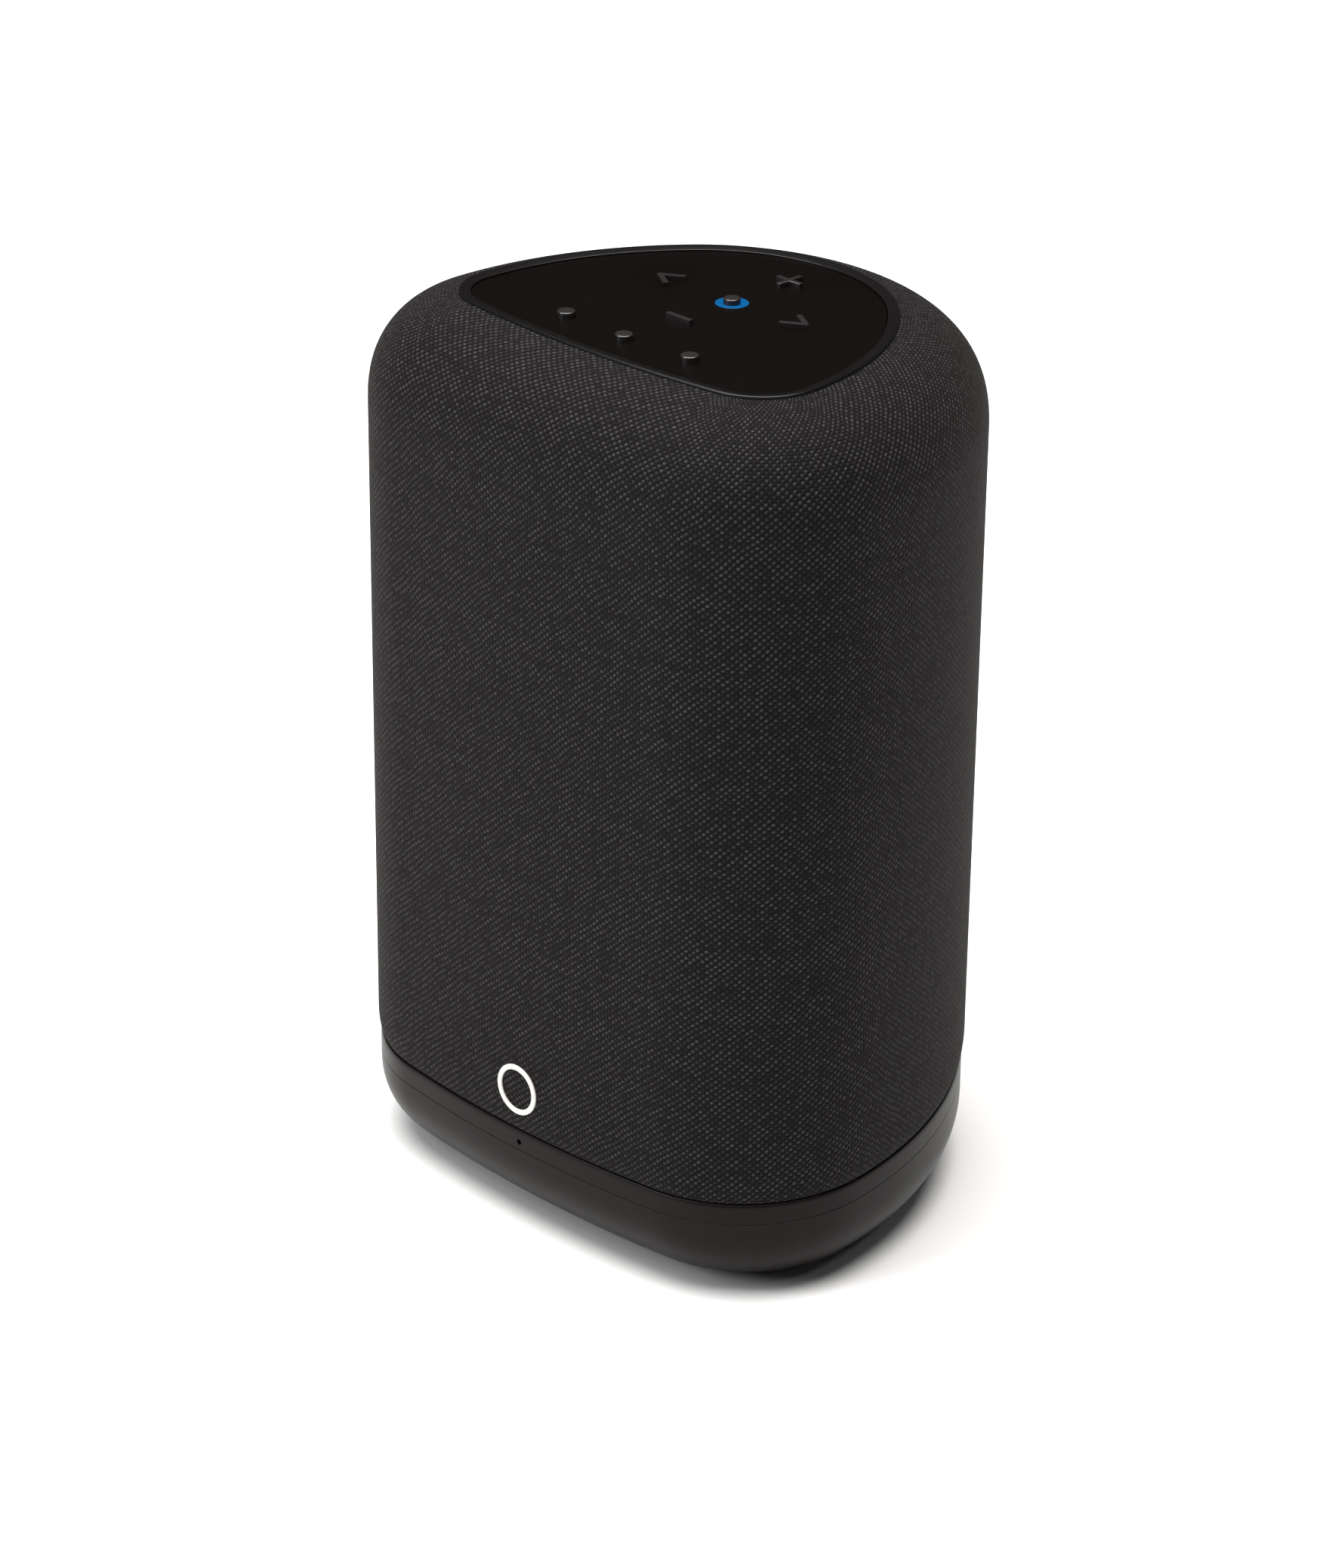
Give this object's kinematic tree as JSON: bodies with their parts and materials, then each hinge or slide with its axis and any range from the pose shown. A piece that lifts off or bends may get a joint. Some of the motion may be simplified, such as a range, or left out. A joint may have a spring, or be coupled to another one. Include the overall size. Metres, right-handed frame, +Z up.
{
  "type": "wireless smart speaker",
  "caption": "Compact mains-powered wireless smart speaker: rounded-triangle fabric-covered body, keypad with preset keys on top, sockets at the back.",
  "frame": {"origin": "centre of the footprint's box on the table, under the rubber foot", "axes": "+Z up, -Y towards the front face with the badge and the drivers, +X to the object's left as it looks out, so right in a front view"},
  "size_m": [0.124, 0.1053, 0.1832],
  "materials": {
    "rubber_foot": "soft matt rubber",
    "base_tray": "satin moulded plastic",
    "base_screws": "zinc plated",
    "base_collar": "satin moulded plastic",
    "chassis_plate": "moulded plastic",
    "microphone_board": "coated circuit board",
    "fabric_cover": "knitted polyester",
    "grille_frame": "moulded plastic",
    "shoulder_frame": "moulded plastic",
    "front_badge": "satin off-white",
    "cabinet": "moulded plastic",
    "cabinet_seal": "foam rubber",
    "cabinet_lid": "moulded plastic",
    "lid_screws": "zinc plated",
    "woofer_gasket": "foam rubber",
    "woofer_basket": "pressed steel, painted",
    "woofer_magnet": "ferrite and steel",
    "woofer_spider": "resin treated cloth",
    "woofer_surround": "smooth rubber roll",
    "woofer_screws": "zinc plated",
    "tweeter_plate": "moulded plastic",
    "tweeter_magnet": "steel can",
    "tweeter_screws": "zinc plated",
    "keypad_carrier": "moulded plastic",
    "bezel_ring": "satin black plastic",
    "keypad_plate": "matt black plastic",
    "light_ring": "lit from below; emissive",
    "keypad_board": "coated circuit board",
    "key_switches": "moulded plastic",
    "ring_leds": "clear lamp",
    "keypad_cable": "polyimide film",
    "antenna_boards": "coated circuit board",
    "main_board": "coated circuit board",
    "shield_can": "tinned steel",
    "heat_sink": "extruded aluminium",
    "power_board": "coated circuit board",
    "power_parts": "potted parts",
    "speaker_wires": "insulated wire",
    "connector_board": "coated circuit board",
    "rear_panel": "moulded plastic",
    "rear_panel_screws": "black zinc",
    "mains_inlet": "moulded plastic",
    "inlet_pins": "nickel plated brass",
    "network_socket": "shielded shell",
    "usb_socket": "steel shell",
    "aux_socket": "moulded plastic",
    "play_key": "satin black plastic",
    "previous_key": "satin black plastic",
    "next_key": "satin black plastic",
    "volume_up_key": "satin black plastic",
    "volume_down_key": "satin black plastic",
    "preset_key_1": "satin black plastic",
    "preset_key_2": "satin black plastic",
    "preset_key_3": "satin black plastic",
    "woofer_cone": "treated paper pulp",
    "dust_cap": "treated paper pulp",
    "voice_coil": "enamelled copper wire",
    "tweeter_dome": "coated silk",
    "connect_button": "moulded plastic"
  },
  "bodies": {
    "housing": {"rubber_foot": "rubber_foot", "base_tray": "base_tray", "base_screws": "base_screws", "base_collar": "base_collar", "chassis_plate": "chassis_plate", "microphone_board": "microphone_board", "fabric_cover": "fabric_cover", "grille_frame": "grille_frame", "shoulder_frame": "shoulder_frame", "front_badge": "front_badge", "cabinet": "cabinet", "cabinet_seal": "cabinet_seal", "cabinet_lid": "cabinet_lid", "lid_screws": "lid_screws", "woofer_gasket": "woofer_gasket", "woofer_basket": "woofer_basket", "woofer_magnet": "woofer_magnet", "woofer_spider": "woofer_spider", "woofer_surround": "woofer_surround", "woofer_screws": "woofer_screws", "tweeter_plate": "tweeter_plate", "tweeter_magnet": "tweeter_magnet", "tweeter_screws": "tweeter_screws", "keypad_carrier": "keypad_carrier", "bezel_ring": "bezel_ring", "keypad_plate": "keypad_plate", "light_ring": "light_ring", "keypad_board": "keypad_board", "key_switches": "key_switches", "ring_leds": "ring_leds", "keypad_cable": "keypad_cable", "antenna_boards": "antenna_boards", "main_board": "main_board", "shield_can": "shield_can", "heat_sink": "heat_sink", "power_board": "power_board", "power_parts": "power_parts", "speaker_wires": "speaker_wires", "connector_board": "connector_board", "rear_panel": "rear_panel", "rear_panel_screws": "rear_panel_screws", "mains_inlet": "mains_inlet", "inlet_pins": "inlet_pins", "network_socket": "network_socket", "usb_socket": "usb_socket", "aux_socket": "aux_socket"},
    "play_key": {"play_key": "play_key"},
    "previous_key": {"previous_key": "previous_key"},
    "next_key": {"next_key": "next_key"},
    "volume_up_key": {"volume_up_key": "volume_up_key"},
    "volume_down_key": {"volume_down_key": "volume_down_key"},
    "preset_key_1": {"preset_key_1": "preset_key_1"},
    "preset_key_2": {"preset_key_2": "preset_key_2"},
    "preset_key_3": {"preset_key_3": "preset_key_3"},
    "woofer_cone": {"woofer_cone": "woofer_cone", "dust_cap": "dust_cap", "voice_coil": "voice_coil"},
    "tweeter_dome": {"tweeter_dome": "tweeter_dome"},
    "connect_button": {"connect_button": "connect_button"}
  },
  "joints": [
    {"name": "play_press", "type": "slide", "parent": "housing", "child": "play_key", "axis": [0, 0, -1], "range_m": [0, 0.0005], "stiffness_N_per_m": 600},
    {"name": "previous_press", "type": "slide", "parent": "housing", "child": "previous_key", "axis": [0, 0, -1], "range_m": [0, 0.0005], "stiffness_N_per_m": 600},
    {"name": "next_press", "type": "slide", "parent": "housing", "child": "next_key", "axis": [0, 0, -1], "range_m": [0, 0.0005], "stiffness_N_per_m": 600},
    {"name": "volume_up_press", "type": "slide", "parent": "housing", "child": "volume_up_key", "axis": [0, 0, -1], "range_m": [0, 0.0005], "stiffness_N_per_m": 600},
    {"name": "volume_down_press", "type": "slide", "parent": "housing", "child": "volume_down_key", "axis": [0, 0, -1], "range_m": [0, 0.0005], "stiffness_N_per_m": 600},
    {"name": "preset_1_press", "type": "slide", "parent": "housing", "child": "preset_key_1", "axis": [0, 0, -1], "range_m": [0, 0.0005], "stiffness_N_per_m": 600},
    {"name": "preset_2_press", "type": "slide", "parent": "housing", "child": "preset_key_2", "axis": [0, 0, -1], "range_m": [0, 0.0005], "stiffness_N_per_m": 600},
    {"name": "preset_3_press", "type": "slide", "parent": "housing", "child": "preset_key_3", "axis": [0, 0, -1], "range_m": [0, 0.0005], "stiffness_N_per_m": 600},
    {"name": "connect_press", "type": "slide", "parent": "housing", "child": "connect_button", "axis": [0, -1, 0], "range_m": [0, 0.0005], "stiffness_N_per_m": 600},
    {"name": "woofer_excursion", "type": "slide", "parent": "housing", "child": "woofer_cone", "axis": [0, -1, 0], "range_m": [-0.003, 0.003], "stiffness_N_per_m": 1500},
    {"name": "tweeter_excursion", "type": "slide", "parent": "housing", "child": "tweeter_dome", "axis": [0, -1, 0], "range_m": [-0.0003, 0.0003], "stiffness_N_per_m": 4000}
  ]
}
